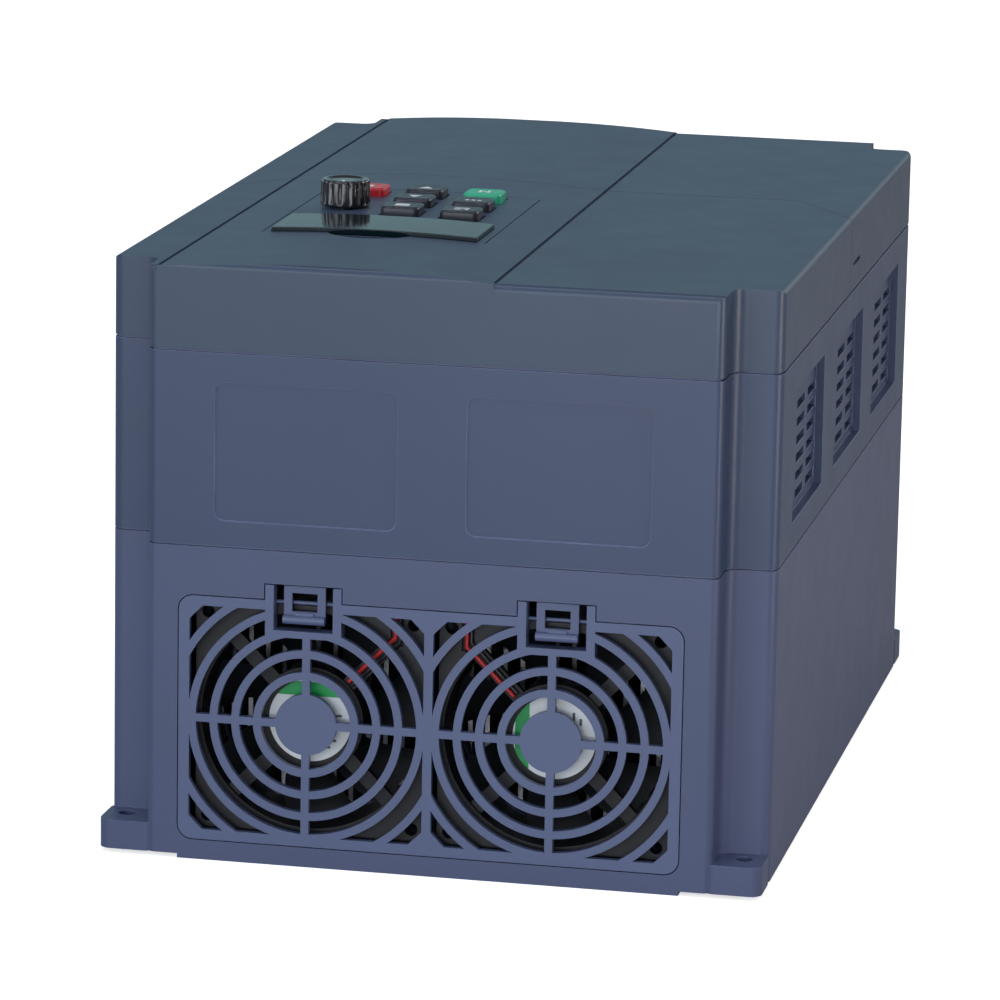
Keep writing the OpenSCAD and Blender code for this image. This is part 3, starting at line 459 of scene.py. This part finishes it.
def mark(node, place, outline, name):
    """Flat white print, a little proud of the key or knob. The outline is in millimetres."""
    bm = bmesh.new()
    thick = 0.12 * MM
    lower = ring(bm, [(place.x + px * MM, place.y + py * MM, place.z) for px, py in outline])
    upper = ring(bm, [(place.x + px * MM, place.y + py * MM, place.z + thick)
                      for px, py in outline])
    bridge(bm, lower, upper)
    bm.faces.new(upper)
    bm.faces.new(list(reversed(lower)))
    obj = finish_mesh(bm, name, MARK_WHITE)
    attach(obj, BODY_OF[node])


def triangle(way, size=2.4):
    """Arrowhead that points to +Y for way 1 and to -Y for way -1."""
    return [(way * -size, way * -size * 0.7), (way * size, way * -size * 0.7), (0, way * size * 0.8)]


def bar(x, y, w, h):
    """Rectangle round (x, y)."""
    return [(x - w / 2, y - h / 2), (x + w / 2, y - h / 2), (x + w / 2, y + h / 2),
            (x - w / 2, y + h / 2)]


KEY_MARKS = {
    "key_run": [bar(-1.5, 0, 1.1, 3.6), bar(1.5, 0, 1.1, 3.6), bar(0, 0, 1.0, 1.0)],
    "key_stop": [bar(0, 0, 3.6, 3.0)],
    "key_up": [triangle(-1)],
    "key_down": [triangle(1)],
    "key_menu": [bar(0, -1.5, 5.2, 0.8), bar(0, 0, 5.2, 0.8), bar(0, 1.5, 5.2, 0.8)],
    "key_shift": [bar(-2.2, 0, 1.3, 1.3), bar(0, 0, 1.3, 1.3), bar(2.2, 0, 1.3, 1.3)],
    "key_enter": [bar(0, 1.2, 5.2, 0.9), bar(-1.4, -1.2, 2.4, 0.9), bar(2.0, -1.2, 1.2, 0.9)],
}
for node, outlines in KEY_MARKS.items():
    centre = key_cap(node)
    for i, outline in enumerate(outlines):
        mark(node, centre, outline, f"{node}_mark_{i + 1}")


def knob(node="knob", grooves=16, groove_depth=0.6 * MM, groove_half=4.0):
    """Turned knob with narrow grip grooves, a soft shoulder, a dished top and a pointer line."""
    low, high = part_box(node)
    x, y = (low[0] + high[0]) / 2, (low[1] + high[1]) / 2
    radius, height = (high[0] - low[0]) / 2, high[2] - low[2]
    soft = 1.1 * MM
    profile = [(radius - 0.5 * MM, 0, 0), (radius - 0.15 * MM, 0.35 * MM, 0),
               (radius, 0.9 * MM, 0), (radius, 1.5 * MM, 1), (radius - 0.25 * MM, height - soft, 1)]
    for k in range(1, 6):
        a = math.radians(90 * k / 5)
        profile.append((radius - 0.25 * MM - soft * (1 - math.cos(a)),
                        height - soft * (1 - math.sin(a)), 1 - k / 5))
    profile += [(radius * 0.72, height - 0.05 * MM, 0), (radius * 0.68, height - 0.45 * MM, 0),
                (radius * 0.35, height - 0.5 * MM, 0)]
    steps = grooves * 12
    bm = bmesh.new()
    rings = []
    for r, z, share in profile:
        points = []
        for i in range(steps):
            a = 2 * math.pi * i / steps
            off = (math.degrees(a) + 180 / grooves) % (360 / grooves) - 180 / grooves
            cut = groove_depth * share * math.exp(-(off / groove_half) ** 2)
            points.append((x + (r - cut) * math.cos(a), y + (r - cut) * math.sin(a), low[2] + z))
        rings.append(points)
    loft(bm, rings)
    obj = finish_mesh(bm, "knob_looks", MATERIALS["knob_plastic"], 50)
    stand_for(obj, node)
    line = bar(0, 0, 0.9, radius / MM * 0.45)
    mark(node, Vector((x, y - radius * 0.45, low[2] + height - 0.5 * MM)), line, "knob_pointer")


knob()


def rotor(node, blades=7):
    """Moulded impeller: cup with a soft rim and curved, twisted blades.

    A blade is a grid of spans from hub to tip by chords from one edge to the other, with two
    faces that meet in thin edges.
    """
    low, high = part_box(node)
    frame_low, frame_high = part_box(node.replace("rotor", "frame"))
    x, z = (frame_low[0] + frame_high[0]) / 2, (frame_low[2] + frame_high[2]) / 2
    tip = 37.1 * MM
    hub, wall, bore = 17.4 * MM, 2 * MM, 4 * MM
    y1 = high[1]
    y0 = y1 - 17.8 * MM
    bm = bmesh.new()
    around = 64
    profile = [(hub - wall, y0), (hub - 0.4 * MM, y0), (hub, y0 + 0.4 * MM),
               (hub, y1 - 1.2 * MM), (hub - 0.4 * MM, y1 - 0.35 * MM), (hub - 1.2 * MM, y1),
               (bore, y1), (bore, y1 - 1.5 * MM), (hub - wall, y1 - 1.5 * MM)]
    rings = [ring(bm, [(x + r * math.cos(2 * math.pi * i / around), y,
                        z + r * math.sin(2 * math.pi * i / around)) for i in range(around)])
             for r, y in profile]
    for lower, upper in zip(rings, rings[1:] + rings[:1]):
        bridge(bm, upper, lower)
    spans, chords = 10, 9
    for b in range(blades):
        start = 2 * math.pi * b / blades
        grid = {}
        for i in range(spans + 1):
            t = i / spans
            r = hub - 0.3 * MM + (tip - hub + 0.3 * MM) * t
            pitch = math.radians(52 - 18 * t)
            chord = (17 + 9 * t) * MM
            for j in range(chords + 1):
                u = j / chords - 0.5
                camber = 2.2 * MM * (0.25 - u * u)
                thick = 0.75 * MM * (1 - 0.75 * abs(2 * u) ** 3)
                for face in (-1, 1):
                    along = u * chord
                    lift = camber + face * thick
                    dy = along * math.sin(pitch) + lift * math.cos(pitch)
                    arc = along * math.cos(pitch) - lift * math.sin(pitch)
                    a = start + arc / r + 0.25 * t
                    y = min(max((y0 + y1) / 2 + dy * 0.9, y0 + 0.2 * MM), y1 - 0.2 * MM)
                    grid[i, j, face] = bm.verts.new((x + r * math.cos(a), y, z + r * math.sin(a)))
        for i in range(spans):
            for j in range(chords):
                for face in (-1, 1):
                    quad = [grid[i, j, face], grid[i + 1, j, face], grid[i + 1, j + 1, face],
                            grid[i, j + 1, face]]
                    bm.faces.new(quad if face > 0 else quad[::-1])
        for i in range(spans):
            for j, flip in ((0, False), (chords, True)):
                quad = [grid[i, j, -1], grid[i + 1, j, -1], grid[i + 1, j, 1], grid[i, j, 1]]
                bm.faces.new(quad[::-1] if flip else quad)
        for j in range(chords):
            for i, flip in ((0, True), (spans, False)):
                quad = [grid[i, j, -1], grid[i, j + 1, -1], grid[i, j + 1, 1], grid[i, j, 1]]
                bm.faces.new(quad[::-1] if flip else quad)
    bmesh.ops.recalc_face_normals(bm, faces=bm.faces)
    obj = finish_mesh(bm, node + "_looks", MATERIALS["rotor_plastic"])
    stand_for(obj, node)


rotor("fan_rotor_left")
rotor("fan_rotor_right")


# grey dashes on a hub label in millimetres: across, up, length
DASHES = ((9.6, 2.2, 3.0), (9.2, -0.4, 3.6), (7.6, -6.6, 3.2), (6.0, -9.0, 2.4))


def label(node, side, turn):
    """Round hub label turned by so many degrees: a green printed band and a few grey dashes."""
    low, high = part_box("fan_labels")
    frame_low, frame_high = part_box("fan_frame_" + side)
    x, z = (frame_low[0] + frame_high[0]) / 2, (frame_low[2] + frame_high[2]) / 2
    radius = (high[2] - low[2]) / 2
    spin = Matrix.Rotation(math.radians(turn), 2)

    def plate(outline, y0, y1, name, material):
        bm = bmesh.new()
        points = [spin @ Vector(p) for p in outline]
        front = ring(bm, [(x + p.x, y0, z + p.y) for p in points])
        back = ring(bm, [(x + p.x, y1, z + p.y) for p in points])
        bridge(bm, back, front)
        bm.faces.new(front)
        bm.faces.new(list(reversed(back)))
        bmesh.ops.recalc_face_normals(bm, faces=bm.faces)
        obj = finish_mesh(bm, name, material)
        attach(obj, BODY_OF[node])
        return obj

    def chord(inner, outer):
        """Slice of the disc between two heights above its middle, as shares of the radius."""
        a0, a1 = math.acos(inner), math.acos(outer)
        left = [(-radius * math.sin(a), radius * math.cos(a)) for a in
                [a0 + (a1 - a0) * k / 8 for k in range(9)]]
        return left + [(-px, py) for px, py in reversed(left)]

    disc = [(radius * math.sin(2 * math.pi * k / 64), radius * math.cos(2 * math.pi * k / 64))
            for k in range(64)]
    y0, y1 = low[1] + 0.08 * MM, high[1]
    print0, print1 = y0 - 0.03 * MM, y0 + 0.05 * MM
    made = plate(disc, y0, y1, f"fan_label_{side}", MATERIALS["label_paper"])
    plate(chord(0.6, 0.94), print0, print1, f"fan_label_{side}_band", PRINT_GREEN)
    for i, (across, up, dash) in enumerate(DASHES):
        outline = [(px * MM, py * MM) for px, py in bar(across, up, dash, 0.9)]
        plate(outline, print0, print1, f"fan_label_{side}_dash_{i + 1}", PRINT_GREY)
    return made


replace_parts(label("fan_labels", "left", 0), "fan_labels")
label("fan_labels", "right", 90)


# ---------------------------------------------------------------- floor, light and camera


def floor():
    """Pale studio floor. It shows white to the camera and throws only a soft light back."""
    size = 12.0
    mesh = bpy.data.meshes.new("floor")
    mesh.from_pydata([(-size, -size, 0), (size, -size, 0), (size, size, 0), (-size, size, 0)], [],
                     [(0, 1, 2, 3)])
    s = Shader("floor_paint")
    tint = s.noise(0.4, 3.0)
    rays = s.node("ShaderNodeLightPath").outputs["Is Camera Ray"]
    paint = s.blend(s.span(tint, 0.0, 1.0), srgb(244, 244, 245), srgb(250, 250, 250))
    s.link(s.blend(rays, (0.36, 0.36, 0.37, 1.0), paint), s.bsdf.inputs["Base Color"])
    s.bsdf.inputs["Emission Color"].default_value = (1.0, 1.0, 1.0, 1.0)
    s.link(s.span(rays, 0.0, 0.66, 0.0, 1.0), s.bsdf.inputs["Emission Strength"])
    s.link(s.span(tint, 0.75, 0.85), s.bsdf.inputs["Roughness"])
    s.bump([(s.noise(2 * MM), 0.05, 0.02 * MM)])
    make_object("floor", mesh, s.mat)


def area_light(name, place, aim, size, radiance, colour=(1, 1, 1)):
    """Soft box whose face shines with the given radiance."""
    data = bpy.data.lights.new(name, "AREA")
    data.shape = "RECTANGLE"
    data.size, data.size_y = size
    data.energy = radiance * math.pi * size[0] * size[1]
    data.color = colour
    light = bpy.data.objects.new(name, data)
    light.location = place
    light.rotation_euler = (Vector(aim) - Vector(place)).to_track_quat("-Z", "Y").to_euler()
    bpy.context.scene.collection.objects.link(light)


def world_light():
    """Dim room: teal behind and above the horizon, darker overhead, warm on the right.

    The front is a bright, slightly blue wall.
    """
    world = bpy.data.worlds.new("studio")
    world.use_nodes = True
    tree = world.node_tree
    back = tree.nodes["Background"]
    coords = tree.nodes.new("ShaderNodeTexCoord").outputs["Generated"]

    def towards(direction, low, high):
        """0 where a view is further from the direction than low, 1 nearer than high (cosines)."""
        dot = tree.nodes.new("ShaderNodeVectorMath")
        dot.operation = "DOT_PRODUCT"
        tree.links.new(coords, dot.inputs[0])
        dot.inputs[1].default_value = Vector(direction).normalized()
        ramp = tree.nodes.new("ShaderNodeMapRange")
        ramp.interpolation_type = "SMOOTHSTEP"
        ramp.inputs["From Min"].default_value = low
        ramp.inputs["From Max"].default_value = high
        tree.links.new(dot.outputs["Value"], ramp.inputs["Value"])
        return ramp.outputs["Result"]

    def over(below, share, colour):
        mix = tree.nodes.new("ShaderNodeMix")
        mix.data_type = "RGBA"
        tree.links.new(share, mix.inputs[0])
        if isinstance(below, tuple):
            mix.inputs[6].default_value = below
        else:
            tree.links.new(below, mix.inputs[6])
        mix.inputs[7].default_value = colour
        return mix.outputs[2]

    room = over((0.27, 0.42, 0.47, 1), towards((0, 0, 1), 0.2, 0.6), (0.17, 0.19, 0.21, 1))
    room = over(room, towards((0.8, 0.6, -0.1), 0.72, 0.97), (0.42, 0.36, 0.33, 1))
    room = over(room, towards((0, -1, 0.1), 0.1, 0.9), (0.62, 0.68, 0.78, 1))
    room = over(room, towards((1, -0.2, 0), 0.6, 0.95), (0.2, 0.17, 0.16, 1))
    tree.links.new(room, back.inputs["Color"])
    back.inputs["Strength"].default_value = 1.0
    bpy.context.scene.world = world


def camera():
    """Long lens in front of the fan end, a little to the right and above."""
    azimuth, elevation, roll = math.radians(11.593), math.radians(12.513), math.radians(-1.067)
    eye = Vector((0.3812, -1.9175, 0.5273))
    forward = Vector((-math.sin(azimuth) * math.cos(elevation),
                      math.cos(azimuth) * math.cos(elevation), -math.sin(elevation)))
    right = forward.cross(Vector((0, 0, 1))).normalized()
    right = Matrix.Rotation(roll, 3, forward) @ right
    up = right.cross(forward)
    data = bpy.data.cameras.new("camera")
    data.lens = 197.1
    data.sensor_width = 36.0
    data.clip_end = 100.0
    cam = bpy.data.objects.new("camera", data)
    cam.matrix_world = Matrix((
        (right.x, up.x, -forward.x, eye.x),
        (right.y, up.y, -forward.y, eye.y),
        (right.z, up.z, -forward.z, eye.z),
        (0, 0, 0, 1)))
    bpy.context.scene.collection.objects.link(cam)
    bpy.context.scene.camera = cam


floor()
world_light()
area_light("front", (-0.9, -2.8, 0.6), (0, 0, 0.1), (3.0, 1.2), 2.8, (0.93, 0.96, 1.0))
area_light("low front", (0.3, -1.6, 0.08), (0.05, 0, 0.05), (1.2, 0.12), 8.0, (0.96, 0.95, 1.0))
area_light("overhead strip", (-0.1, -0.35, 1.9), (0, -0.1, 0.1), (1.8, 0.08), 20.0,
           (0.92, 0.9, 1.0))
area_light("warm spot", (0.62, -0.3, 0.12), (0.11, -0.05, 0.08), (0.15, 0.15), 12.0,
           (1.0, 0.88, 0.8))
area_light("rear right", (1.7, 1.8, 1.5), (0, 0.05, 0.1), (1.2, 0.8), 8.0, (1.0, 0.95, 0.92))
area_light("left", (-2.4, 0.6, 0.7), (-0.1, 0, 0.1), (1.2, 0.8), 2.6, (0.95, 0.97, 1.0))
camera()
bpy.context.scene.view_settings.view_transform = "Standard"
bpy.context.scene.view_settings.look = "None"

bpy.context.view_layer.update()
